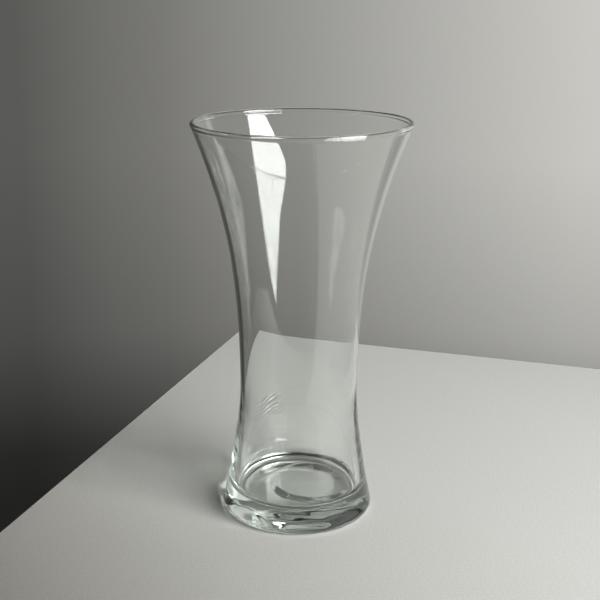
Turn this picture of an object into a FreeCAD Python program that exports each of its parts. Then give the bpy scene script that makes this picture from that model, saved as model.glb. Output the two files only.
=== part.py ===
import FreeCAD, Part
import math
import os

# Clear glass trumpet vase, in millimetres. It stands on z = 0 with its axis on +Z.
# The real vase is one piece of glass. It is modelled in the three forms that the
# glassmaker gives it, face to face: the heavy base, the blown wall and the lip.

# Overall
total_height = 300.0

# Outside: a waist, a flare up to the mouth and a spread down to the foot
waist_radius = 44.5
waist_height = 97.0
mouth_radius = 79.8
mouth_flare_power = 2.39
foot_radius = 57.5
foot_spread_power = 1.53

# Heel: the round between the foot and the standing ring
heel_height = 6.5

# Inside: the wall thickens down to the foot, and meets the floor in a round
mouth_wall_thickness = 2.6
waist_wall_thickness = 2.95
foot_wall_thickness = 7.4
bore_spread_power = 1.8
floor_height = 15.5
floor_corner_height = 8.0
floor_crown = 0.3

# Lip: a round bead, a little thicker than the wall that carries it
bead_diameter = 3.4

# The blown wall starts this far above the floor's round
base_rise = 3.0

# Underside: a standing ring round a shallow recess with a long soft slope
standing_ring_width = 4.0
recess_depth = 1.6
recess_slope_width = 20.0

# Mound: a low round disc of glass on the floor, off the vase's axis, with a sloped side
mound_height = 2.6
mound_radius = 28.0
mound_slope_width = 6.0
mound_round = 6.0
mound_clearance = 1.5

# Shapes that cut or join the glass run this far past or into it
overrun = 1.0

# Places that follow from the sizes above
bead_radius = bead_diameter / 2
bead_rise = math.sqrt(bead_radius ** 2 - (mouth_wall_thickness / 2) ** 2)
lip_height = total_height - bead_radius - bead_rise
corner_top = floor_height + floor_corner_height
base_top = corner_top + base_rise

# Steps of a formula curve, on each side of the waist and across the recess's slope
curve_steps = 7


def outer_radius(z):
    """Outside radius of the glass at height z, from the heel to the lip."""
    if z >= waist_height:
        rise_share = (z - waist_height) / (lip_height - waist_height)
        return waist_radius + (mouth_radius - waist_radius) * rise_share ** mouth_flare_power
    drop_share = (waist_height - z) / (waist_height - heel_height)
    return waist_radius + (foot_radius - waist_radius) * drop_share ** foot_spread_power


def bore_radius(z):
    """Inside radius of the glass at height z, from the floor's corner to the lip."""
    if z >= waist_height:
        rise_share = (z - waist_height) / (lip_height - waist_height)
        thinning = waist_wall_thickness - mouth_wall_thickness
        return outer_radius(z) - waist_wall_thickness + thinning * rise_share
    drop_share = (waist_height - z) / (waist_height - corner_top)
    waist_bore = waist_radius - waist_wall_thickness
    floor_bore = outer_radius(corner_top) - foot_wall_thickness
    return waist_bore + (floor_bore - waist_bore) * drop_share ** bore_spread_power


def point(r, z):
    """Point of the half section, at radius r and height z."""
    return FreeCAD.Vector(r, 0, z)


def line(a, b):
    """Straight edge between two points."""
    return Part.LineSegment(a, b).toShape()


def flare(radius_at, z_low):
    """Smooth edge through points of a radius formula, from z_low past the waist to the lip."""
    shares = [i / curve_steps for i in range(curve_steps)]
    heights = [z_low + (waist_height - z_low) * share for share in shares]
    heights += [waist_height + (lip_height - waist_height) * share for share in shares]
    heights.append(lip_height)
    spline = Part.BSplineCurve()
    spline.interpolate([point(radius_at(z), z) for z in heights])
    return spline.toShape()


def round_edge(centre, radius, start_angle, end_angle):
    """Arc of the half section about a centre, with its angles measured up from the +X side."""
    angles = [start_angle, (start_angle + end_angle) / 2, end_angle]
    places = [centre + point(radius * math.cos(a), radius * math.sin(a)) for a in angles]
    return Part.Arc(places[0], places[1], places[2]).toShape()


def soft_slope(inner_radius, outer_radius, rise):
    """Smooth edge from a rise at the inner radius down to the ground at the outer one."""
    shares = [i / curve_steps for i in range(curve_steps + 1)]
    places = [point(inner_radius + (outer_radius - inner_radius) * share,
                    rise * (1 + math.cos(math.pi * share)) / 2) for share in shares]
    spline = Part.BSplineCurve()
    spline.interpolate(places, InitialTangent=point(1, 0), FinalTangent=point(1, 0))
    return spline.toShape()


def foot_round(side, level, rise):
    """Arc from flat at a level to the low end of a flare, which lies a rise above it."""
    low_end = side.valueAt(side.FirstParameter)
    upward = side.tangentAt(side.FirstParameter)
    lean = math.atan2(-upward.x, upward.z)
    radius = rise / (1 + math.sin(lean))
    centre = point(low_end.x - radius * math.cos(lean), level + radius)
    return round_edge(centre, radius, -math.pi / 2, lean)


outside = flare(outer_radius, heel_height)
inside = flare(bore_radius, corner_top)
heel = foot_round(outside, 0, heel_height)
corner = foot_round(inside, floor_height, floor_corner_height)

ring_outer = heel.valueAt(heel.FirstParameter).x
ring_inner = ring_outer - standing_ring_width
recess_radius = ring_inner - recess_slope_width

# The mound's foot ends a clearance inside the bore on the +X side, which puts it off the axis
mound_foot_radius = mound_radius + mound_slope_width
mound_offset = bore_radius(corner_top) - mound_clearance - mound_foot_radius


def glass_section():
    """Closed half section of the whole vase, right of its axis."""
    bead_centre = point(mouth_radius - mouth_wall_thickness / 2, lip_height + bead_rise)
    seat_angle = math.asin(bead_rise / bead_radius)
    outer_bead = round_edge(bead_centre, bead_radius, -seat_angle, math.pi / 2)
    inner_bead = round_edge(bead_centre, bead_radius, math.pi / 2, math.pi + seat_angle)

    floor_edge = corner.valueAt(corner.FirstParameter)
    crown = point(0, floor_height + floor_crown)
    far_edge = point(-floor_edge.x, floor_height)
    dome = Part.Arc(floor_edge, crown, far_edge)
    floor = Part.Edge(dome, dome.FirstParameter, (dome.FirstParameter + dome.LastParameter) / 2)

    underside = [
        line(crown, point(0, recess_depth)),
        line(point(0, recess_depth), point(recess_radius, recess_depth)),
        soft_slope(recess_radius, ring_inner, recess_depth),
        line(point(ring_inner, 0), point(ring_outer, 0)),
    ]
    return underside + [heel, outside, outer_bead, inner_bead, inside, corner, floor]


def whole_glass():
    """The vase as the one body of glass that it really is."""
    face = Part.Face(Part.Wire(Part.__sortEdges__(glass_section())))
    glass = face.revolve(FreeCAD.Vector(0, 0, 0), FreeCAD.Vector(0, 0, 1), 360)
    if glass.Volume < 0:
        glass.reverse()
    return glass.fuse(mound())


def mound():
    """Flat-topped cone with a rounded shoulder, rooted in the floor."""
    root_radius = mound_foot_radius + mound_slope_width * overrun / mound_height
    cone = Part.makeCone(root_radius, mound_radius, overrun + mound_height)
    top_edge = max(cone.Edges, key=lambda edge: edge.CenterOfMass.z)
    disc = cone.makeFillet(mound_round, [top_edge])
    disc.translate(FreeCAD.Vector(mound_offset, 0, floor_height - overrun))
    return disc


def slab(z_low, z_high):
    """Round slab between two heights, wider than the vase."""
    radius = mouth_radius + foot_radius
    return Part.makeCylinder(radius, z_high - z_low, FreeCAD.Vector(0, 0, z_low))


glass = whole_glass()
sub_parts = {
    "heavy_base": glass.common(slab(-overrun, base_top)),
    "trumpet_wall": glass.common(slab(base_top, lip_height)),
    "rim_bead": glass.common(slab(lip_height, total_height + overrun)),
}

os.makedirs("parts", exist_ok=True)
for name, shape in sub_parts.items():
    box = shape.optimalBoundingBox(False, False)
    print(name, "solids", len(shape.Solids), "valid", shape.isValid(),
          "volume cm3", round(shape.Volume / 1000, 2),
          "z", round(box.ZMin, 3), round(box.ZMax, 3), "radius", round(box.XMax, 3))
    shape.exportStep("parts/" + name + ".step")
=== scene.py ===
# %% [markdown]
# # A clear glass trumpet vase
# This lesson dresses a vase whose real sizes come from its engineering model. Blender works here
# in metres, with the vase's axis on Z and the table at z = 0.

# %% Load the frame
import math

import bmesh
import bpy
from mathutils import Matrix, Vector


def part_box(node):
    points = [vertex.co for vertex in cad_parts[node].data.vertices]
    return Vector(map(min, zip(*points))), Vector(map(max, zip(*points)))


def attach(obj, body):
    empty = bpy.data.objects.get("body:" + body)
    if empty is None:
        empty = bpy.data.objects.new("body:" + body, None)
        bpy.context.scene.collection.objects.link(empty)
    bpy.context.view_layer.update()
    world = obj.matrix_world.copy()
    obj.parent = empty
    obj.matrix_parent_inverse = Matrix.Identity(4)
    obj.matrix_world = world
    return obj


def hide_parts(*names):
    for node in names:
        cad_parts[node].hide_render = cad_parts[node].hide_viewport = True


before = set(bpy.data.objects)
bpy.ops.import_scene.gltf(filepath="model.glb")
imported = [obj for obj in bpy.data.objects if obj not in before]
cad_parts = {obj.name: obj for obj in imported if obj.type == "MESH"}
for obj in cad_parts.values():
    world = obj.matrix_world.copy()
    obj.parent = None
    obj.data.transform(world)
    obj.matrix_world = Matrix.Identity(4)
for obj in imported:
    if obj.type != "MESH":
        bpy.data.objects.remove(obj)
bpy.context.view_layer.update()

MM = 0.001
scene = bpy.context.scene

# %% [markdown]
# ## The camera
# A tall narrow object shows in the photograph how far away the camera was: the rim's ellipse is
# flat and the foot's is round, because the camera looks down on the foot at a steeper angle. A
# camera was fitted to both ellipses and both outlines by measurement, and these are its values.
# It leans a little, as a camera held in the hand does.

# %% Camera at the photograph's viewing angle
PHOTO_SIDE_PX = 600
FOCAL_PX = 1121
SENSOR_WIDTH_MM = 36
CAMERA_DISTANCE = 804.3 * MM
CAMERA_HEIGHT = 405 * MM
CAMERA_PITCH = math.radians(16.53)
CAMERA_YAW = math.radians(0.02)
CAMERA_ROLL = math.radians(0.75)
CAMERA_REACH = 20

camera_data = bpy.data.cameras.new("photo_camera")
camera_data.sensor_width = SENSOR_WIDTH_MM
camera_data.lens = FOCAL_PX * SENSOR_WIDTH_MM / PHOTO_SIDE_PX
camera_data.clip_end = CAMERA_REACH
camera = bpy.data.objects.new("photo_camera", camera_data)
scene.collection.objects.link(camera)
turn = Matrix.Rotation(-CAMERA_YAW, 4, "Z") @ Matrix.Rotation(math.pi / 2 - CAMERA_PITCH, 4, "X")
turn = turn @ Matrix.Rotation(CAMERA_ROLL, 4, "Z")
camera.matrix_world = Matrix.Translation((0, -CAMERA_DISTANCE, CAMERA_HEIGHT)) @ turn
scene.camera = camera
print("camera lens", round(camera_data.lens, 1), "mm")

# %% [markdown]
# ## The half section of the glass
# Glass is a solid with two skins, and light bends at both, so the vase is drawn as one closed
# section: up the outside, over the lip, down the inside, across the floor. Both skins follow the
# glassmaker's rule: a power curve that flares from the waist to the mouth, and a flatter one that
# spreads from the waist to the foot. The lip's height is read from the frame, and what no box can
# show is a named size.

# %% Sizes of the section
LIP_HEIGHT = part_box("trumpet_wall")[1][2]
MOUTH_RADIUS = 79.8 * MM
WAIST_RADIUS = 44.5 * MM
WAIST_HEIGHT = 97 * MM
FOOT_RADIUS = 57.5 * MM
HEEL_HEIGHT = 6.5 * MM
FLARE_POWER = 2.39
SPREAD_POWER = 1.53

MOUTH_WALL = 2.6 * MM
WAIST_WALL = 2.95 * MM
FOOT_WALL = 7.4 * MM
BORE_POWER = 1.8
FLOOR_HEIGHT = 15.5 * MM
CORNER_HEIGHT = 8 * MM
FLOOR_CROWN = 0.3 * MM
CORNER_TOP = FLOOR_HEIGHT + CORNER_HEIGHT

BEAD_RADIUS = 1.7 * MM
RING_WIDTH = 4 * MM
RECESS_DEPTH = 1.6 * MM
RECESS_SLOPE = 20 * MM
print("lip height", round(LIP_HEIGHT / MM, 1), "mm")


# %% Radii of the two skins
def outer_radius(z):
    """Outside radius of the glass at height z."""
    if z >= WAIST_HEIGHT:
        share = (z - WAIST_HEIGHT) / (LIP_HEIGHT - WAIST_HEIGHT)
        return WAIST_RADIUS + (MOUTH_RADIUS - WAIST_RADIUS) * share ** FLARE_POWER
    share = (WAIST_HEIGHT - z) / (WAIST_HEIGHT - HEEL_HEIGHT)
    return WAIST_RADIUS + (FOOT_RADIUS - WAIST_RADIUS) * share ** SPREAD_POWER


def bore_radius(z):
    """Inside radius of the glass at height z."""
    if z >= WAIST_HEIGHT:
        share = (z - WAIST_HEIGHT) / (LIP_HEIGHT - WAIST_HEIGHT)
        return outer_radius(z) - WAIST_WALL + (WAIST_WALL - MOUTH_WALL) * share
    share = (WAIST_HEIGHT - z) / (WAIST_HEIGHT - CORNER_TOP)
    waist_bore = WAIST_RADIUS - WAIST_WALL
    floor_bore = outer_radius(CORNER_TOP) - FOOT_WALL
    return waist_bore + (floor_bore - waist_bore) * share ** BORE_POWER


print("mouth of the bore", round(bore_radius(LIP_HEIGHT) / MM, 1), "mm in radius")


# %% Rounds at the heel, the floor's corner and the lip
LEAN_STEP = 0.1 * MM


def foot_round(radius_at, z, level):
    """Centre, radius and end angle of the round between a level and the wall above it."""
    lean = math.atan2(radius_at(z) - radius_at(z + LEAN_STEP), LEAN_STEP)
    radius = (z - level) / (1 + math.sin(lean))
    return (radius_at(z) - radius * math.cos(lean), level + radius), radius, lean


heel_centre, heel_radius, heel_lean = foot_round(outer_radius, HEEL_HEIGHT, 0)
corner_centre, corner_radius, corner_lean = foot_round(bore_radius, CORNER_TOP, FLOOR_HEIGHT)
ring_outer = heel_centre[0]
ring_inner = ring_outer - RING_WIDTH
recess_radius = ring_inner - RECESS_SLOPE
floor_radius = corner_centre[0]
bead_rise = math.sqrt(BEAD_RADIUS ** 2 - (MOUTH_WALL / 2) ** 2)
seat_angle = math.asin(bead_rise / BEAD_RADIUS)
bead_centre = (MOUTH_RADIUS - MOUTH_WALL / 2, LIP_HEIGHT + bead_rise)
print("standing ring", round(ring_inner / MM, 1), "to", round(ring_outer / MM, 1), "mm")


# %% Points at even steps
def spaced(start, end, count):
    """count values from start towards end, without end."""
    return [start + (end - start) * i / count for i in range(count)]


def arc(centre, radius, start, end, count):
    """count points on an arc of the section, from one angle towards another, without the last."""
    return [
        (centre[0] + radius * math.cos(a), centre[1] + radius * math.sin(a))
        for a in spaced(start, end, count)
    ]


# %% Rows of the section
# The creases on the back wall need rows about half a millimetre apart. Rows close under the lip
# keep the bead's round out of the wall's smooth shading.
CREASE_FOOT = 51 * MM
CREASE_TOP = 81 * MM
LIP_DROPS = [5 * MM, 3.2 * MM, 1.7 * MM]

RECESS_ROWS = 16
SLOPE_ROWS = 12
HEEL_ROWS = 9
OUTSIDE_ROWS = 59
BEAD_ROWS = 18
UPPER_BORE_ROWS = 33
CREASE_ROWS = 53
LOWER_BORE_ROWS = 12
CORNER_ROWS = 9
FLOOR_ROWS = 50


def recess_slope(r):
    """Height of the underside at radius r, between the recess and the standing ring."""
    return RECESS_DEPTH * (1 + math.cos(math.pi * (r - recess_radius) / RECESS_SLOPE)) / 2


def floor_top(r):
    """Height of the floor at radius r, a very low dome."""
    return FLOOR_HEIGHT + FLOOR_CROWN * (1 - (r / floor_radius) ** 2)


lip_heights = [LIP_HEIGHT - drop for drop in LIP_DROPS]
outside_heights = spaced(HEEL_HEIGHT, lip_heights[0], OUTSIDE_ROWS) + lip_heights
bore_heights = [LIP_HEIGHT] + list(reversed(lip_heights[1:]))
bore_heights += spaced(lip_heights[0], CREASE_TOP, UPPER_BORE_ROWS)
bore_heights += spaced(CREASE_TOP, CREASE_FOOT, CREASE_ROWS)
bore_heights += spaced(CREASE_FOOT, CORNER_TOP, LOWER_BORE_ROWS)
crease_step = (CREASE_TOP - CREASE_FOOT) / CREASE_ROWS
print("rows through the creases every", round(crease_step / MM, 2), "mm")

# %% Points of the section, from the middle of the underside to the middle of the floor
section = [(r, RECESS_DEPTH) for r in spaced(0, recess_radius, RECESS_ROWS)]
section += [(r, recess_slope(r)) for r in spaced(recess_radius, ring_inner, SLOPE_ROWS)]
section.append((ring_inner, 0))
section += arc(heel_centre, heel_radius, -math.pi / 2, heel_lean, HEEL_ROWS)
section += [(outer_radius(z), z) for z in outside_heights]
section += arc(bead_centre, BEAD_RADIUS, -seat_angle, math.pi + seat_angle, BEAD_ROWS)
rim_row = len(section)
section += [(bore_radius(z), z) for z in bore_heights]
section += arc(corner_centre, corner_radius, corner_lean, -math.pi / 2, CORNER_ROWS)
section += [(r, floor_top(r)) for r in spaced(floor_radius, 0, FLOOR_ROWS)]
section.append((0, floor_top(0)))
print("section points", len(section), "with the inside after point", rim_row)

section_curve = bpy.data.curves.new("glass_section", "CURVE")
section_curve.dimensions = "3D"
spline = section_curve.splines.new("POLY")
spline.points.add(len(section) - 1)
for place, (r, z) in zip(spline.points, section):
    place.co = (r, 0, z, 1)
vase_curve = bpy.data.objects.new("glass_section", section_curve)
scene.collection.objects.link(vase_curve)

# %% [markdown]
# ## Turning the section
# A lathe would be a Screw modifier or a spin in mesh code. The vase is turned with Geometry Nodes
# instead, because the same tree can then bend the glass where it lies, and its sizes stay named
# inputs. A flat grid has one row for each point of the section and one column for each step round
# the axis, and each of its points is moved to its place on the turned glass.


# %% Small helpers for node trees
def add(tree, kind, **settings):
    """A new node of that kind, with its settings."""
    node = tree.nodes.new(kind)
    for name, value in settings.items():
        setattr(node, name, value)
    return node


def feed(tree, socket, value):
    """Gives a socket a link or a plain value."""
    if isinstance(value, bpy.types.NodeSocket):
        tree.links.new(value, socket)
    else:
        socket.default_value = value


def calc(tree, operation, *values):
    """Output of a Math node."""
    node = add(tree, "ShaderNodeMath", operation=operation)
    for socket, value in zip(node.inputs, values):
        feed(tree, socket, value)
    return node.outputs[0]


def chained(tree, operation, first, *others):
    """One value after the other, joined by Math nodes of one kind."""
    result = first
    for value in others:
        result = calc(tree, operation, result, value)
    return result


def vector_calc(tree, operation, *values):
    """Vector output of a Vector Math node."""
    node = add(tree, "ShaderNodeVectorMath", operation=operation)
    for socket, value in zip(node.inputs, values):
        feed(tree, socket, value)
    return node.outputs[0]


def fade(tree, value, start, end, out_start=0.0, out_end=1.0):
    """Smooth step from one output to the other while a value goes from start to end."""
    node = add(tree, "ShaderNodeMapRange", interpolation_type="SMOOTHSTEP")
    for name, given_value in (("Value", value), ("From Min", start), ("From Max", end),
                              ("To Min", out_start), ("To Max", out_end)):
        feed(tree, node.inputs[name], given_value)
    return node.outputs[0]


# %% The turning tree and its named inputs
TURNING_INPUTS = {
    "Steps": 360,
    "Rim Row": rim_row,
    "Swell": 0.16 * MM,
    "Swell Size": 45 * MM,
    "Ripple": 0.035 * MM,
    "Ripple Size": 7 * MM,
    "Ripple Top": 120 * MM,
    "Base Swell": 0.5 * MM,
    "Base Swell Size": 11 * MM,
    "Base Seed": 7.0,
    "Underside Swell": 0.5 * MM,
    "Crease": 0.35 * MM,
    "Crease Spacing": 3.3 * MM,
    "Crease Wander": 6 * MM,
    "Crease Left": -42 * MM,
    "Crease Right": -7 * MM,
    "Crease Rise": math.radians(33),
    "Seed": 4.0,
    "Rim Tilt": 0.011,
    "Mound X": 11 * MM,
    "Mound Radius": 27 * MM,
    "Mound Slope": 8 * MM,
    "Mound Height": 2.6 * MM,
}
SOCKET_KINDS = {int: "NodeSocketInt", float: "NodeSocketFloat"}

turning = bpy.data.node_groups.new("vase_turning", "GeometryNodeTree")
turning.interface.new_socket("Geometry", in_out="INPUT", socket_type="NodeSocketGeometry")
turning.interface.new_socket("Geometry", in_out="OUTPUT", socket_type="NodeSocketGeometry")
for name, value in TURNING_INPUTS.items():
    kind = SOCKET_KINDS[type(value)]
    turning.interface.new_socket(name, in_out="INPUT", socket_type=kind).default_value = value
turning.interface.new_socket("Glass", in_out="INPUT", socket_type="NodeSocketMaterial")
given = add(turning, "NodeGroupInput").outputs
print("turning tree inputs", len(TURNING_INPUTS) + 2)

# %% A flat grid with a row for each point of the section
GRID_SIDE = 1.0

position = add(turning, "GeometryNodeInputPosition").outputs[0]
count_rows = add(turning, "GeometryNodeAttributeDomainSize", component="CURVE")
feed(turning, count_rows.inputs[0], given["Geometry"])
row_count = count_rows.outputs["Point Count"]
grid = add(turning, "GeometryNodeMeshGrid")
feed(turning, grid.inputs["Size X"], GRID_SIDE)
feed(turning, grid.inputs["Size Y"], GRID_SIDE)
feed(turning, grid.inputs["Vertices X"], calc(turning, "ADD", given["Steps"], 1))
feed(turning, grid.inputs["Vertices Y"], row_count)

on_grid = add(turning, "ShaderNodeSeparateXYZ")
feed(turning, on_grid.inputs[0], position)
turn_share = calc(turning, "ADD", on_grid.outputs["X"], GRID_SIDE / 2)
row_share = calc(turning, "ADD", on_grid.outputs["Y"], GRID_SIDE / 2)
around = calc(turning, "MULTIPLY", turn_share, math.tau)
last_row = calc(turning, "SUBTRACT", row_count, 1)
row = calc(turning, "ROUND", calc(turning, "MULTIPLY", row_share, last_row))
print("grid of", TURNING_INPUTS["Steps"] + 1, "columns and", len(section), "rows")

# %% Radius and height of each row, read from the section
pick = add(turning, "GeometryNodeSampleIndex", data_type="FLOAT_VECTOR", domain="POINT")
feed(turning, pick.inputs["Geometry"], given["Geometry"])
feed(turning, pick.inputs["Value"], position)
feed(turning, pick.inputs["Index"], row)
drawn = add(turning, "ShaderNodeSeparateXYZ")
feed(turning, drawn.inputs[0], pick.outputs[0])
radius = drawn.outputs["X"]
height = drawn.outputs["Z"]
inside = calc(turning, "GREATER_THAN", row, given["Rim Row"])


def turned(radius_there, height_there):
    """Place on the vase at a radius and a height, turned round the axis."""
    place = add(turning, "ShaderNodeCombineXYZ")
    to_x = calc(turning, "MULTIPLY", radius_there, calc(turning, "COSINE", around))
    to_y = calc(turning, "MULTIPLY", radius_there, calc(turning, "SINE", around))
    feed(turning, place.inputs["X"], to_x)
    feed(turning, place.inputs["Y"], to_y)
    feed(turning, place.inputs["Z"], height_there)
    return place.outputs[0]


round_place = turned(radius, height)

# %% [markdown]
# ## Uneven glass
# Blown glass is never quite even, and it is the unevenness that makes lines bend and break behind
# it. The wall swells and thins slowly, by less than a tenth of a millimetre. Close to the foot a
# fine ripple winds round it, left from turning it on the pipe. The base, gathered in several
# dips, is the least even, and gives the swirls that show in it. A Bump node could draw all this
# on smooth glass, but the mesh wouldn't have it, so the skins themselves are moved.


# %% Signed noise with a seed
NOISE_MEAN = 0.5


def noise(coordinates, size, detail, seed):
    """Noise about zero, of a given size in metres."""
    node = add(turning, "ShaderNodeTexNoise", noise_dimensions="4D")
    feed(turning, node.inputs["Vector"], coordinates)
    feed(turning, node.inputs["Scale"], calc(turning, "DIVIDE", 1, size))
    feed(turning, node.inputs["Detail"], detail)
    feed(turning, node.inputs["W"], seed)
    return calc(turning, "SUBTRACT", node.outputs["Fac"], NOISE_MEAN)


# %% Slow swelling of the wall, different on its two skins
SWELL_STRETCH = (1, 1, 0.45)
SWELL_DETAIL = 1.0
INSIDE_SHIFT = 9.0
WALL_START = FLOOR_HEIGHT * 0.3
LIP_FADE = 20 * MM

skin_seed = calc(turning, "ADD", given["Seed"], calc(turning, "MULTIPLY", inside, INSIDE_SHIFT))
stretched = vector_calc(turning, "MULTIPLY", round_place, SWELL_STRETCH)
swell = noise(stretched, given["Swell Size"], SWELL_DETAIL, skin_seed)
on_wall = fade(turning, height, WALL_START, CORNER_TOP)
off_lip = fade(turning, height, LIP_HEIGHT, LIP_HEIGHT - LIP_FADE)
swelled = chained(turning, "MULTIPLY", swell, given["Swell"], on_wall, off_lip)
print("swelling of each skin up to", round(TURNING_INPUTS["Swell"] / 2 / MM, 2), "mm")

# %% A twisted ripple low on the wall
TWIST_PER_METRE = 9.0
RIPPLE_STRETCH = (1, 1, 0.12)
RIPPLE_FULL_SHARE = 0.4

twisted = add(turning, "ShaderNodeVectorRotate", rotation_type="Z_AXIS")
feed(turning, twisted.inputs["Vector"], round_place)
feed(turning, twisted.inputs["Angle"], calc(turning, "MULTIPLY", height, TWIST_PER_METRE))
drawn_out = vector_calc(turning, "MULTIPLY", twisted.outputs[0], RIPPLE_STRETCH)
ripple = noise(drawn_out, given["Ripple Size"], 0.0, given["Seed"])
ripple_full = calc(turning, "MULTIPLY", given["Ripple Top"], RIPPLE_FULL_SHARE)
low_down = fade(turning, height, given["Ripple Top"], ripple_full)
rippled = chained(turning, "MULTIPLY", ripple, given["Ripple"], on_wall, low_down)
print("ripple up to", round(TURNING_INPUTS["Ripple Top"] / MM), "mm above the table")

# %% Unevenness of the base's outside
# It fades out before the axis, so that the underside's middle stays closed
BASE_START = 0.3 * MM
BASE_END = CORNER_TOP * 1.6

base_noise = noise(round_place, given["Base Swell Size"], 0.0, given["Base Seed"])
on_base = calc(turning, "MULTIPLY", fade(turning, height, BASE_START, HEEL_HEIGHT),
               fade(turning, height, BASE_END, FLOOR_HEIGHT))
outside = calc(turning, "MULTIPLY", calc(turning, "SUBTRACT", 1, inside),
               fade(turning, radius, recess_radius, ring_inner))
base_uneven = chained(turning, "MULTIPLY", base_noise, given["Base Swell"], on_base, outside)
print("uneven base up to", round(BASE_END / MM, 1), "mm above the table")

# %% [markdown]
# ## Creases in the back wall
# Low on the back wall the photograph shows a few short bright strokes. They are the window, seen
# in creases of the inner skin that face a little upwards. Noise fine enough for them would make
# the whole wall rough, so the creases are a slanted wave of a third of a millimetre. The noise of
# the base makes it wander, and it fades out on all sides.

# %% A slanted wave on the inside of the back wall
CREASE_EDGE_FADE = 7 * MM
CREASE_END_FADE = 5 * MM

to_side = calc(turning, "MULTIPLY", radius, calc(turning, "COSINE", around))
rise_part = calc(turning, "MULTIPLY", height, calc(turning, "COSINE", given["Crease Rise"]))
side_part = calc(turning, "MULTIPLY", to_side, calc(turning, "SINE", given["Crease Rise"]))
across_creases = calc(turning, "SUBTRACT", rise_part, side_part)
wander = calc(turning, "MULTIPLY", base_noise, given["Crease Wander"])
wandering = calc(turning, "ADD", across_creases, wander)
wave_share = calc(turning, "DIVIDE", wandering, given["Crease Spacing"])
wave = calc(turning, "SINE", calc(turning, "MULTIPLY", math.tau, wave_share))

# %% Where the creases are: between their two ends and two heights, on the back only
crease_length = calc(turning, "SUBTRACT", given["Crease Right"], given["Crease Left"])
half_length = calc(turning, "MULTIPLY", crease_length, 0.5)
crease_middle = calc(turning, "ADD", given["Crease Left"], half_length)
crease_end = calc(turning, "SUBTRACT", given["Crease Right"], CREASE_END_FADE)
along = calc(turning, "MULTIPLY", fade(turning, to_side, given["Crease Left"], crease_middle),
             fade(turning, to_side, given["Crease Right"], crease_end))
above_foot = fade(turning, height, CREASE_FOOT, CREASE_FOOT + CREASE_EDGE_FADE)
below_top = fade(turning, height, CREASE_TOP, CREASE_TOP - CREASE_EDGE_FADE)
behind = calc(turning, "GREATER_THAN", calc(turning, "SINE", around), 0)
at_back = calc(turning, "MULTIPLY", inside, behind)
creased = chained(turning, "MULTIPLY", wave, given["Crease"], along, above_foot, below_top, at_back)
changes = chained(turning, "ADD", swelled, rippled, creased)
new_radius = chained(turning, "ADD", radius, base_uneven, changes)
print("creases from", round(CREASE_FOOT / MM), "to", round(CREASE_TOP / MM), "mm above the table")

# %% [markdown]
# ## The mound, the underside and the lean of the rim
# On the floor lies a low round mound of glass, off the axis. It could be a mesh of its own, but a
# seam inside clear glass shows, so the floor's own rows are lifted to it. The underside is dented
# by the same noise as the base. Last, the rim leans by 0.6 degrees, as the photograph shows.

# %% The floor's rows, lifted to the mound
FLAT = (1, 1, 0)

mound_centre = add(turning, "ShaderNodeCombineXYZ")
feed(turning, mound_centre.inputs["X"], given["Mound X"])
from_mound = add(turning, "ShaderNodeVectorMath", operation="DISTANCE")
feed(turning, from_mound.inputs[0], vector_calc(turning, "MULTIPLY", round_place, FLAT))
feed(turning, from_mound.inputs[1], mound_centre.outputs[0])
mound_foot = calc(turning, "ADD", given["Mound Radius"], given["Mound Slope"])
mound_share = fade(turning, from_mound.outputs["Value"], mound_foot, given["Mound Radius"])
mound_rise = calc(turning, "MULTIPLY", mound_share, given["Mound Height"])
mound_top = calc(turning, "ADD", mound_rise, FLOOR_HEIGHT)
near_floor = calc(turning, "MULTIPLY", inside, calc(turning, "LESS_THAN", height, CORNER_TOP))
lift = calc(turning, "MAXIMUM", calc(turning, "SUBTRACT", mound_top, height), 0)
lifted = calc(turning, "MULTIPLY", lift, near_floor)
mound_height = FLOOR_HEIGHT + TURNING_INPUTS["Mound Height"]
print("top of the mound", round(mound_height / MM, 1), "mm above the table")

# %% The dented underside and the leaning rim
RING_FADE = 8 * MM
UNDERSIDE_TOP = RECESS_DEPTH * 1.01

off_ring = fade(turning, radius, ring_inner, ring_inner - RING_FADE)
underneath = calc(turning, "LESS_THAN", height, UNDERSIDE_TOP)
dented = chained(turning, "MULTIPLY", base_noise, given["Underside Swell"], off_ring, underneath)
near_rim = fade(turning, height, WAIST_HEIGHT, LIP_HEIGHT)
tilted = chained(turning, "MULTIPLY", to_side, given["Rim Tilt"], near_rim)
raised = calc(turning, "ADD", lifted, dented)
new_height = chained(turning, "ADD", height, raised, tilted)
rim_lean = math.degrees(math.atan(TURNING_INPUTS["Rim Tilt"]))
print("rim leans by", round(rim_lean, 2), "degrees")

# %% The end of the tree: points in place, seam and poles closed
MERGE_DISTANCE = 0.008 * MM

shaped = add(turning, "GeometryNodeSetPosition")
feed(turning, shaped.inputs["Geometry"], grid.outputs["Mesh"])
feed(turning, shaped.inputs["Position"], turned(new_radius, new_height))
closed = add(turning, "GeometryNodeMergeByDistance")
feed(turning, closed.inputs["Geometry"], shaped.outputs[0])
feed(turning, closed.inputs["Distance"], MERGE_DISTANCE)
smooth = add(turning, "GeometryNodeSetShadeSmooth")
feed(turning, smooth.inputs["Geometry"], closed.outputs[0])
real = add(turning, "GeometryNodeRealizeInstances")
feed(turning, real.inputs["Geometry"], smooth.outputs[0])
paint = add(turning, "GeometryNodeSetMaterial")
feed(turning, paint.inputs["Geometry"], real.outputs[0])
feed(turning, paint.inputs["Material"], given["Glass"])
feed(turning, add(turning, "NodeGroupOutput").inputs[0], paint.outputs[0])
print("turning tree nodes", len(turning.nodes))

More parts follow.
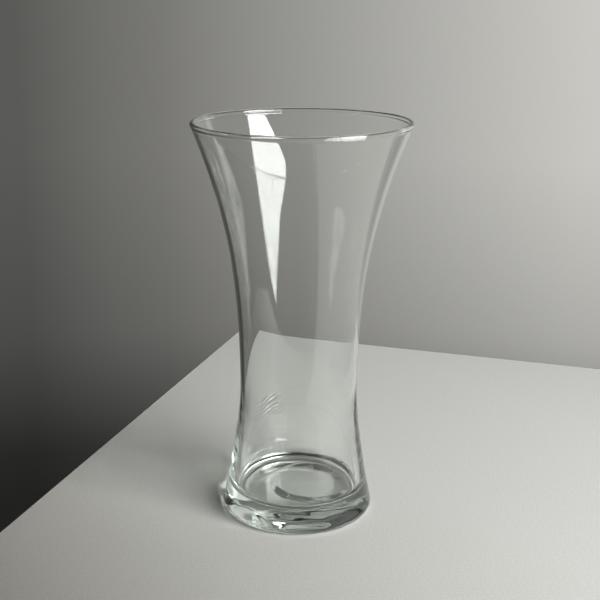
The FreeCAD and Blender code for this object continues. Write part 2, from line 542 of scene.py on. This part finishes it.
# %% [markdown]
# ## The glass
# Clear soda-lime glass bends light by an index of about 1.51. It is nearly colourless through a
# thin wall, and its trace of iron shows as a grey green only where the light crosses much glass,
# as in the base. A tinted surface would colour thin and thick glass alike, so the surface is clean
# and the colour is in a Volume Absorption shader. The shadow and the bright patches on the table
# are bent light too. Cycles finds them by itself, because the only strong light is a large window
# that scattered rays can hit.

# %% Glass material
GLASS_INDEX = 1.51
GLASS_TINT = (0.985, 0.995, 0.985, 1)
DEEP_COLOUR = (0.55, 0.86, 0.72, 1)
DEEP_DENSITY = 2.6

glass = bpy.data.materials.new("clear_soda_glass")
glass.use_nodes = True
glass_tree = glass.node_tree
glass_tree.nodes.clear()
surface = add(glass_tree, "ShaderNodeBsdfPrincipled")
surface.inputs["Base Color"].default_value = GLASS_TINT
surface.inputs["Roughness"].default_value = 0.0
surface.inputs["IOR"].default_value = GLASS_INDEX
surface.inputs["Transmission Weight"].default_value = 1.0
depth = add(glass_tree, "ShaderNodeVolumeAbsorption")
depth.inputs["Color"].default_value = DEEP_COLOUR
depth.inputs["Density"].default_value = DEEP_DENSITY
glass_out = add(glass_tree, "ShaderNodeOutputMaterial")
feed(glass_tree, glass_out.inputs["Surface"], surface.outputs[0])
feed(glass_tree, glass_out.inputs["Volume"], depth.outputs[0])
print("glass index", GLASS_INDEX)

# %% Turn the section into the vase
turn_modifier = vase_curve.modifiers.new("turning", "NODES")
turn_modifier.node_group = turning
chosen = {**TURNING_INPUTS, "Glass": glass}
for item in turning.interface.items_tree:
    if item.item_type == "SOCKET" and item.in_out == "INPUT" and item.name in chosen:
        turn_modifier[item.identifier] = chosen[item.name]
depsgraph = bpy.context.evaluated_depsgraph_get()
turned_curve = vase_curve.evaluated_get(depsgraph)
vase_mesh = bpy.data.meshes.new_from_object(turned_curve, depsgraph=depsgraph)
vase_mesh.name = "glass_vase"
vase = bpy.data.objects.new("glass_vase", vase_mesh)
scene.collection.objects.link(vase)
bpy.data.objects.remove(vase_curve)

# %% Check that the glass is closed, and measure it
CM3 = 1e-6

check = bmesh.new()
check.from_mesh(vase_mesh)
triangles = sum(len(f.verts) - 2 for f in check.faces)
open_edges = sum(1 for edge in check.edges if len(edge.link_faces) != 2)
volume = check.calc_volume(signed=True)
check.free()
print("vase triangles", triangles, "open edges", open_edges, "volume cm3", round(volume / CM3, 1))

# %% Say which solids the vase stands for
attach(vase, "root")
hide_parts("heavy_base", "trumpet_wall", "rim_bead")
print("one piece of glass for three solids")

# %% [markdown]
# ## The studio
# Glass shows nothing but what is round it, so the studio is half of its look. It has three parts:
# a table that ends behind the vase, a soft grey wall, and a tall window to the right, behind the
# camera. The brightness of all three is set by ramps of listed tones.


# %% Ramp of tones
RAMP_MIDDLE = 0.5


def graded(tree, value, span, stops, tint, dim_tint=None):
    """Colour ramp of (value, tone) stops over a span about zero, from the dim tint to the tint."""
    node = add(tree, "ShaderNodeValToRGB")
    share_of_span = calc(tree, "DIVIDE", value, span)
    feed(tree, node.inputs[0], calc(tree, "ADD", share_of_span, RAMP_MIDDLE))
    elements = node.color_ramp.elements
    places = [at / span + RAMP_MIDDLE for at, tone in stops]
    for place in places[len(elements):]:
        elements.new(place)
    for stop, place in zip(elements, places):
        stop.position = place
    lowest = min(tone for at, tone in stops)
    highest = max(tone for at, tone in stops)
    for stop, (at, tone) in zip(elements, stops):
        share = (tone - lowest) / (highest - lowest)
        pairs = zip(tint, dim_tint or tint)
        stop.color = (*(tone * (dim + (full - dim) * share) for full, dim in pairs), 1)
    return node.outputs[0]


# %% [markdown]
# ## The table
# The photograph shows the table's two far edges, beside the vase and bent through it, so their
# corner and directions were measured there through the fitted camera. The near edge is out of the
# picture and still shows: the vase's outside mirrors it, and it ends the pale upright band in the
# middle of the glass. One closed slab with a paint of its own is enough for all of this.

# %% Slab of the table
TABLE_CORNER = Vector((-69.7 * MM, 428.9 * MM, 0))
LEFT_EDGE_WAY = Vector((-0.2956, -0.9553, 0))
RIGHT_EDGE_WAY = Vector((0.9607, -0.2778, 0))
TABLE_RIGHT = 1.3
TABLE_LEFT = 0.69
TABLE_FRONT = -470 * MM
TABLE_THICKNESS = 30 * MM

right_end = TABLE_CORNER + RIGHT_EDGE_WAY * TABLE_RIGHT
left_end = TABLE_CORNER + LEFT_EDGE_WAY * TABLE_LEFT
table_top = [TABLE_CORNER, left_end, Vector((right_end.x, TABLE_FRONT, 0)), right_end]
table_under = [corner - Vector((0, 0, TABLE_THICKNESS)) for corner in table_top]
corners = len(table_top)
top_face = tuple(range(corners))
under_face = tuple(reversed(range(corners, 2 * corners)))
side_faces = [(i, i + corners, (i + 1) % corners + corners, (i + 1) % corners) for i in top_face]
table_mesh = bpy.data.meshes.new("table")
table_mesh.from_pydata(table_top + table_under, [], [top_face, under_face] + side_faces)
table = bpy.data.objects.new("table", table_mesh)
scene.collection.objects.link(table)
print("table corners", corners)

# %% Painted shade in the matt paint, darker to the near left where the window's light is cut off
# Tones by millimetres from the vase, along the way in which the table gets paler
FALL_WAY = (0.816, 0.578, 0)
TABLE_SHADE_TONES = [(-280, 0.36), (-190, 0.56), (-100, 0.74), (0, 0.86), (100, 0.94), (300, 1.0)]
TABLE_SPAN_MM = 600
TABLE_TINT = (0.76, 0.766, 0.74)
# The painted shade is warmer in tint at its dark end
SHADED_TABLE_TINT = (0.76, 0.74, 0.685)
TABLE_ROUGHNESS = 0.7

table_paint = bpy.data.materials.new("table_paint")
table_paint.use_nodes = True
table_mesh.materials.append(table_paint)
table_tree = table_paint.node_tree
coat = table_tree.nodes["Principled BSDF"]
coat.inputs["Roughness"].default_value = TABLE_ROUGHNESS
on_table = add(table_tree, "ShaderNodeTexCoord").outputs["Object"]
across_table = add(table_tree, "ShaderNodeVectorMath", operation="DOT_PRODUCT")
feed(table_tree, across_table.inputs[0], on_table)
feed(table_tree, across_table.inputs[1], FALL_WAY)
table_mm = calc(table_tree, "DIVIDE", across_table.outputs["Value"], MM)
# The paint's colour carries painted shade, darker towards the near left
shaded_table_colour = graded(table_tree, table_mm, TABLE_SPAN_MM, TABLE_SHADE_TONES, TABLE_TINT, SHADED_TABLE_TINT)

# %% Fine grain in the paint
GRAIN_SIZE = 1.6 * MM
GRAIN_DETAIL = 3
GRAIN_FROM = (0.25, 0.75)
GRAIN_TO = (0.93, 1.07)

grain = add(table_tree, "ShaderNodeTexNoise")
feed(table_tree, grain.inputs["Vector"], on_table)
feed(table_tree, grain.inputs["Scale"], 1 / GRAIN_SIZE)
feed(table_tree, grain.inputs["Detail"], GRAIN_DETAIL)
grained = add(table_tree, "ShaderNodeMix", data_type="RGBA", blend_type="MULTIPLY")
grained.inputs["Factor"].default_value = 1
feed(table_tree, grained.inputs["A"], shaded_table_colour)
grain_tone = fade(table_tree, grain.outputs["Fac"], *GRAIN_FROM, *GRAIN_TO)
feed(table_tree, grained.inputs["B"], grain_tone)
feed(table_tree, coat.inputs["Base Color"], grained.outputs["Result"])
print("table grain", GRAIN_SIZE / MM, "mm")

# %% [markdown]
# ## The wall
# The wall in the photograph is out of focus and has no corner or edge, only tones: dark on the
# left, pale on the right, and darker towards the floor. It could be a plane, but the glass also
# mirrors and bends what is beside and behind the camera. So the wall is made in the World, where
# it is there from all sides, as the product of one ramp round the horizon and one from below to
# above. Both ramps are in degrees, and the bearing is 0 behind the vase and 90 to the right. The
# narrow bright strip between 48 and 55 degrees is out of the picture, and draws the pale line
# inside the vase's left side.

# %% World with tones by bearing and by elevation
WALL_TINT = (1, 0.99, 0.935)
WALL_TONES = [
    (-180, 0.1), (-50, 0.1), (-14, 0.105), (-10, 0.16), (-7.2, 0.19), (0, 0.316), (6, 0.435),
    (11, 0.53), (14, 0.585), (30, 0.75), (46, 0.8), (48, 1.6), (55, 1.6), (57, 0.6), (100, 0.5),
    (160, 0.25), (180, 0.1),
]
HEIGHT_TONES = [
    (-90, 0.12), (-26, 0.15), (-23.6, 0.2), (-21.5, 0.38), (-18, 0.68), (-14, 0.82), (-9, 0.97),
    (0, 1.0), (20, 0.9), (45, 0.2), (90, 0.1),
]
BEARING_SPAN = 360
ELEVATION_SPAN = 180
WHITE = (1, 1, 1)

world = bpy.data.worlds.new("studio_wall")
scene.world = world
world.use_nodes = True
wall_tree = world.node_tree
wall_tree.nodes.clear()
way = add(wall_tree, "ShaderNodeSeparateXYZ")
feed(wall_tree, way.inputs[0], add(wall_tree, "ShaderNodeTexCoord").outputs["Generated"])
bearing = calc(wall_tree, "DEGREES", calc(wall_tree, "ARCTAN2", way.outputs["X"], way.outputs["Y"]))
elevation = calc(wall_tree, "DEGREES", calc(wall_tree, "ARCSINE", way.outputs["Z"]))
shade = add(wall_tree, "ShaderNodeMix", data_type="RGBA", blend_type="MULTIPLY")
shade.inputs["Factor"].default_value = 1
across = graded(wall_tree, bearing, BEARING_SPAN, WALL_TONES, WALL_TINT)
upward = graded(wall_tree, elevation, ELEVATION_SPAN, HEIGHT_TONES, WHITE)
feed(wall_tree, shade.inputs["A"], across)
feed(wall_tree, shade.inputs["B"], upward)
glow = add(wall_tree, "ShaderNodeBackground")
feed(wall_tree, glow.inputs[0], shade.outputs["Result"])
feed(wall_tree, add(wall_tree, "ShaderNodeOutputWorld").inputs[0], glow.outputs[0])
print("wall tones", len(WALL_TONES), "round and", len(HEIGHT_TONES), "upwards")

# %% [markdown]
# ## The window
# The white streak in the upper left of the glass is the window, mirrored in the inner skin. The
# curved glass draws it narrow and bent, so its outline was found the other way round: corner by
# corner, until the streak had the photograph's outline. An area light can't have such an outline,
# so the window is a glowing polygon. It is brighter higher up, and the camera doesn't see it.

# %% Window panel
WINDOW_BEARING = math.radians(134)
WINDOW_DISTANCE = 1.6
WINDOW_CORNERS_MM = [
    (-700, 1780), (-690, 870), (-640, 610), (-580, 380), (-470, 170), (-300, 0), (-100, -125),
    (10, 50), (300, 511), (490, 701), (700, 925), (700, 1100), (37, 1420),
]

to_window = Vector((math.sin(WINDOW_BEARING), math.cos(WINDOW_BEARING), 0)) * WINDOW_DISTANCE
window_side = Vector((math.cos(WINDOW_BEARING), -math.sin(WINDOW_BEARING), 0))
pane_corners = [
    to_window + window_side * x * MM + Vector((0, 0, z * MM)) for x, z in WINDOW_CORNERS_MM
]
window_mesh = bpy.data.meshes.new("window")
window_mesh.from_pydata(pane_corners, [], [tuple(range(len(pane_corners)))])
window = bpy.data.objects.new("window", window_mesh)
scene.collection.objects.link(window)
window.visible_camera = False
print("window corners", len(pane_corners))

# %% Glow of the window
# Tones by millimetres above the table
WINDOW_TONE = 16.0
WINDOW_TONES = [
    (-125, 0.5), (250, 0.58), (600, 0.7), (900, 0.85), (1080, 1), (1300, 1), (1480, 0.7),
]
WINDOW_SPAN_MM = 3000
WINDOW_COLOUR = (1, 1, 0.99, 1)

pane = bpy.data.materials.new("window_pane")
pane.use_nodes = True
window_mesh.materials.append(pane)
pane_tree = pane.node_tree
pane_tree.nodes.clear()
up_window = add(pane_tree, "ShaderNodeSeparateXYZ")
feed(pane_tree, up_window.inputs[0], add(pane_tree, "ShaderNodeTexCoord").outputs["Object"])
window_mm = calc(pane_tree, "DIVIDE", up_window.outputs["Z"], MM)
pane_tone = graded(pane_tree, window_mm, WINDOW_SPAN_MM, WINDOW_TONES, WHITE)
shine = add(pane_tree, "ShaderNodeEmission")
shine.inputs["Color"].default_value = WINDOW_COLOUR
feed(pane_tree, shine.inputs["Strength"], calc(pane_tree, "MULTIPLY", pane_tone, WINDOW_TONE))
feed(pane_tree, add(pane_tree, "ShaderNodeOutputMaterial").inputs[0], shine.outputs[0])
print("window tone", WINDOW_TONE)

# %% [markdown]
# ## Light and colour handling
# A ray that enters the glass crosses many skins before it leaves, so it may bounce often. Filter
# Glossy blurs the glass for light that a matt surface has scattered, which makes the shadow far
# too dark, so it is off. The Standard view keeps the tones of the ramps as they were chosen.

# %% Bounces, filter and view
GLASS_BOUNCES = 24
GLOSSY_BOUNCES = 12

scene.view_settings.view_transform = "Standard"
scene.cycles.max_bounces = GLASS_BOUNCES
scene.cycles.transmission_bounces = GLASS_BOUNCES
scene.cycles.transparent_max_bounces = GLASS_BOUNCES
scene.cycles.glossy_bounces = GLOSSY_BOUNCES
scene.cycles.use_denoising = True
scene.cycles.blur_glossy = 0
print("bounces", GLASS_BOUNCES)
